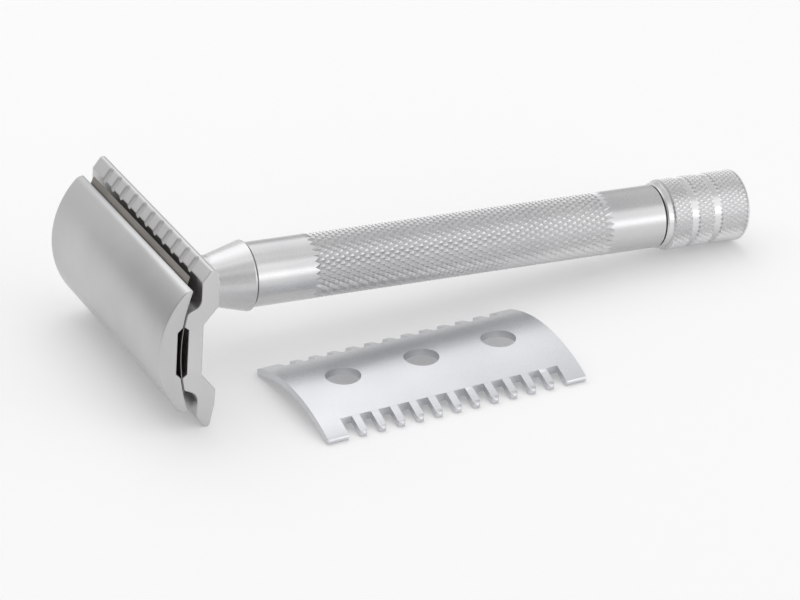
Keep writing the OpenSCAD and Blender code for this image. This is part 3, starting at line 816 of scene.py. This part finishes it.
def make_open_comb():
    bm = sheet_bar(comb_section(), HEAD_LEN + COMB_SPARE)
    bmesh.ops.transform(bm, matrix=Matrix.Rotation(math.pi / 2, 4, "Z"), verts=bm.verts)
    plan = sheet_bar(comb_plan(), PLAN_DEPTH)
    bmesh.ops.transform(plan, matrix=Matrix.Rotation(math.pi / 2, 4, "X"), verts=plan.verts)
    bm = carved(bm, plan, operation="INTERSECT")
    holes = bmesh.new()
    for side in (-1, 0, 1):
        x = side * HOLE_PITCH
        add_cylinder(holes, (x, 0, COMB_CUT_Z[0]), (x, 0, COMB_CUT_Z[1]), HOLE_R)
    bm = carved(bm, holes)
    bmesh.ops.remove_doubles(bm, verts=bm.verts, dist=MERGE)
    crisp = [e for e in bm.edges if len(e.link_faces) == 2 and e.calc_face_angle() > COMB_CRISP]
    round_edges(bm, crisp, COMB_RIM)
    return finished("open_comb_plate_sheet", bm, BESIDE, comb_finish_painted_light, "spare_plate",
                    "open_comb_plate", sharp=14)


# ---- Pieces inside ----

BUSH_LEN = 4.0
BUSH_BORE_R = 1.65
SOCKET_X = 1.55
SOCKET_END_X = SOCKET_X + 12.0
SOCKET_R = 3.3
SOCKET_ROUND = 0.2
SOCKET_BORE_R = 2.5
SOCKET_BORE_END_X = SOCKET_X + 8.6
SCREW_HEAD_ROUND = 0.1
SCREW_SLOT_Y = 0.25      # half the slot's width
SCREW_SLOT_X = (SCREW_HEAD_X - 0.6, SCREW_HEAD_X + 0.7)
SCREW_SLOT_Z = 4


def make_inside():
    for name, node, x in (("bush_front", "front_bush", SPIGOT_END_X),
                          ("bush_rear", "rear_bush", TUBE_END_X - BUSH_LEN)):
        bush = turned([(x, BUSH_BORE_R), (x, TUBE_BORE_R), (x + BUSH_LEN, TUBE_BORE_R),
                       (x + BUSH_LEN, BUSH_BORE_R)])
        finished(name, bush, LAID, brass_finish, "handle", node)
    socket = turned([
        (SOCKET_X, SOCKET_BORE_R, SOCKET_ROUND), (SOCKET_X, SOCKET_R, SOCKET_ROUND),
        (SOCKET_END_X, SOCKET_R, SOCKET_ROUND), (SOCKET_END_X, ROD_R),
        (SOCKET_BORE_END_X, ROD_R), (SOCKET_BORE_END_X, SOCKET_BORE_R)])
    finished("socket", socket, LAID, brass_finish, "knob", "draw_socket")
    screw = turned([
        (SCREW_X, 0), (SCREW_X, SCREW_R), (SCREW_HEAD_X - SCREW_HEAD_H, SCREW_R),
        (SCREW_HEAD_X, SCREW_HEAD_R, SCREW_HEAD_ROUND), (SCREW_HEAD_X, 0)])
    slot = bmesh.new()
    add_block(slot, (SCREW_SLOT_X[0], -SCREW_SLOT_Y, -SCREW_SLOT_Z),
              (SCREW_SLOT_X[1], SCREW_SLOT_Y, SCREW_SLOT_Z))
    screw = carved(screw, slot)
    finished("screw", screw, LAID, steel_finish, "knob", "end_screw")
    for node in ("thrust_washer", "draw_rod", "socket_pin", "retaining_ring", "spring_washer"):
        mesh = frame["nodes"][node].data
        mesh.materials.clear()
        mesh.materials.append(steel_finish)


# ---- Stage and light ----

FLOOR_REACH = 4.0
FLOOR_TINT = (0.8, 0.8, 0.8, 1)
FLOOR_ROUGH = 0.9
FLOOR_GLOW = 0.22
SKY_LOW = 0.36
SKY_HIGH = 0.60
SKY_BRIGHT = Vector((0.75, 0.40, 0.40)).normalized()    # the side where it is brightest
WHITE = (1, 1, 1, 1)

SOFTBOX_AWAY = 1.2
# Azimuth and elevation in degrees, width and height in metres, and glow
SOFTBOXES = {
    "top_softbox": (201, 62, 1.3, 1.2, 0.27),
    "over_softbox": (90, 84, 0.9, 0.9, 0.55),
    "front_softbox": (29, 27, 1.2, 1.0, 0.6),
    "high_front_softbox": (15, 58, 0.9, 0.9, 0.3),
    "low_front_softbox": (25, 10, 1.2, 0.4, 0.85),
    "back_softbox": (170, 50, 0.9, 0.9, 0.78),
    "side_softbox": (235, 50, 0.9, 0.9, 0.45),
    "low_back_softbox": (190, 15, 1.2, 0.5, 0.4),
}


def add_stage():
    """A pale floor that glows a little to the camera, in mirrors and through glass."""
    bm = bmesh.new()
    bmesh.ops.create_grid(bm, x_segments=1, y_segments=1, size=FLOOR_REACH)
    floor = loose_object("floor", bm)
    material = bpy.data.materials.new("pale_floor")
    material.use_nodes = True
    tree = material.node_tree
    shader = tree.nodes["Principled BSDF"]
    shader.inputs["Base Color"].default_value = FLOOR_TINT
    shader.inputs["Roughness"].default_value = FLOOR_ROUGH
    shader.inputs["Specular IOR Level"].default_value = 0.0
    shader.inputs["Emission Color"].default_value = WHITE
    path = add_node(tree, "ShaderNodeLightPath")
    glow = None
    for ray in ("Is Camera Ray", "Is Glossy Ray", "Is Transmission Ray"):
        part = add_node(tree, "ShaderNodeMath", operation="MULTIPLY_ADD")
        part.inputs[1].default_value = FLOOR_GLOW
        part.inputs[2].default_value = 0.0
        tree.links.new(path.outputs[ray], part.inputs[0])
        if glow:
            tree.links.new(glow, part.inputs[2])
        glow = part.outputs["Value"]
    tree.links.new(glow, shader.inputs["Emission Strength"])
    floor.data.materials.append(material)


def add_world():
    """A plain sky that grows brighter towards one side, and is white to the camera."""
    world = bpy.data.worlds.new("studio")
    bpy.context.scene.world = world
    world.use_nodes = True
    tree = world.node_tree
    sky = tree.nodes["Background"]
    sky.inputs["Color"].default_value = WHITE
    place = add_node(tree, "ShaderNodeTexCoord")
    side = add_node(tree, "ShaderNodeVectorMath", operation="DOT_PRODUCT")
    side.inputs[1].default_value = SKY_BRIGHT
    tree.links.new(place.outputs["Generated"], side.inputs[0])
    shade = add_node(tree, "ShaderNodeMapRange")
    shade.inputs["From Min"].default_value = -1.0
    shade.inputs["To Min"].default_value = SKY_LOW
    shade.inputs["To Max"].default_value = SKY_HIGH
    tree.links.new(side.outputs["Value"], shade.inputs["Value"])
    path = add_node(tree, "ShaderNodeLightPath")
    level = add_node(tree, "ShaderNodeMix", data_type="FLOAT")
    level.inputs["B"].default_value = 1.0
    tree.links.new(shade.outputs["Result"], level.inputs["A"])
    tree.links.new(path.outputs["Is Camera Ray"], level.inputs["Factor"])
    tree.links.new(level.outputs["Result"], sky.inputs["Strength"])


def add_softbox(name, azimuth, elevation, width, height, glow):
    """A rectangle of light that adds so much to what a mirror shows there."""
    light = bpy.data.lights.new(name, "AREA")
    light.shape = "RECTANGLE"
    light.size = width
    light.size_y = height
    light.energy = glow * math.pi * width * height
    box = bpy.data.objects.new(name, light)
    bpy.context.collection.objects.link(box)
    turn = (Matrix.Rotation(math.radians(azimuth), 4, "Z")
            @ Matrix.Rotation(math.radians(90 - elevation), 4, "X"))
    box.matrix_world = turn @ Matrix.Translation((0, 0, SOFTBOX_AWAY))
    box.visible_camera = False


add_stage()
add_world()
for name, values in SOFTBOXES.items():
    add_softbox(name, *values)

handle = make_handle_tube()
knob = make_knob()
ferrule = make_ferrule()
cap = make_cap()
plate = make_base_plate()
blade = make_blade()
make_pins_and_stud()
comb = make_open_comb()
make_inside()

bpy.context.scene.view_settings.view_transform = "Standard"


# ---- Where each thing shows in the image; the places are worked out but not compared or written anywhere ----

IN_VIEW = [handle, knob, ferrule, cap, plate, blade, comb]
SIGHT_SLACK = 0.0001       # a vertex this far behind a hit still shows
END_SLACK = 0.2            # depth of the head's near end
RIM_REACH = (2.65, 2.9)    # distances of a hole's upper rim from its middle
RIM_Z = 3.3                # the plate is above this around its holes
TO_NEAR_RIGHT = (1, 0.6)   # image direction of the comb's near right corner


def seen_vertices(pieces):
    """Finished vertices that the camera sees, with their image points."""
    tree, _ = tree_of(IN_VIEW)
    seen = []
    for piece in pieces:
        for vert in piece.data.vertices:
            reach = vert.co - EYE
            hit = tree.ray_cast(EYE, reach.normalized())
            if hit[0] is None or hit[3] > reach.length - SIGHT_SLACK:
                seen.append((vert.co.copy(), Vector(image_of(vert.co))))
    return seen


def write_points():
    whole = seen_vertices(IN_VIEW)
    laid_back, comb_back = LAID.inverted(), BESIDE.inverted()
    near = -HEAD_LEN / 2 + END_SLACK

    def furthest(pieces, direction, keep, back):
        points = [p for v, p in seen_vertices(pieces) if keep(back @ v)]
        return max(points, key=lambda p: p.dot(Vector(direction)))

    def middle(pieces, keep, back):
        points = [p for v, p in seen_vertices(pieces) if keep(back @ v)]
        xs, ys = [p.x for p in points], [p.y for p in points]
        return Vector(((min(xs) + max(xs)) / 2, (min(ys) + max(ys)) / 2))

    def hole_rim(side):
        def on_rim(v):
            reach = math.hypot(v.x - side * HOLE_PITCH, v.y)
            return RIM_REACH[0] < reach < RIM_REACH[1] and v.z > RIM_Z
        return on_rim

    def seam(name, piece, x):
        """A place as far round the razor as the image point, at x along it."""
        place = laid_back @ placed(POINTS[name], [piece])
        return Vector(image_of(LAID @ Vector((x, place.y, place.z))))

    grip = sorted({round((laid_back @ v.co).x, 3) for v in handle.data.vertices})
    grip = [x for x in grip if SPIGOT_END_X + TUBE_EDGE < x < TUBE_END_X - 2 * TUBE_EDGE]
    shows = {
        "handle_joint": seam("handle_joint", handle, JOINT_X),
        "knurl_start": seam("knurl_start", handle, grip[0]),
        "knurl_end": seam("knurl_end", handle, grip[-1]),
        "knob_joint": seam("knob_joint", knob, KNOB_X),
        "upper_bar_tip": furthest([plate], (0, -1), lambda v: v.y < near, laid_back),
        "lower_bar_tip": furthest([plate], (0, 1), lambda v: True, laid_back),
        "cap_upper_corner": furthest([cap], (1, 0), lambda v: v.y < near and v.z > 0, laid_back),
        "cap_lower_corner": furthest([cap], (0, 1), lambda v: True, laid_back),
        "comb_far_left": furthest([comb], (-1, 0), lambda v: True, comb_back),
        "comb_near_right": furthest([comb], TO_NEAR_RIGHT, lambda v: v.y < 0, comb_back),
        "comb_left_hole": middle([comb], hole_rim(-1), comb_back),
        "comb_middle_hole": middle([comb], hole_rim(0), comb_back),
        "comb_right_hole": middle([comb], hole_rim(1), comb_back),
    }


write_points()
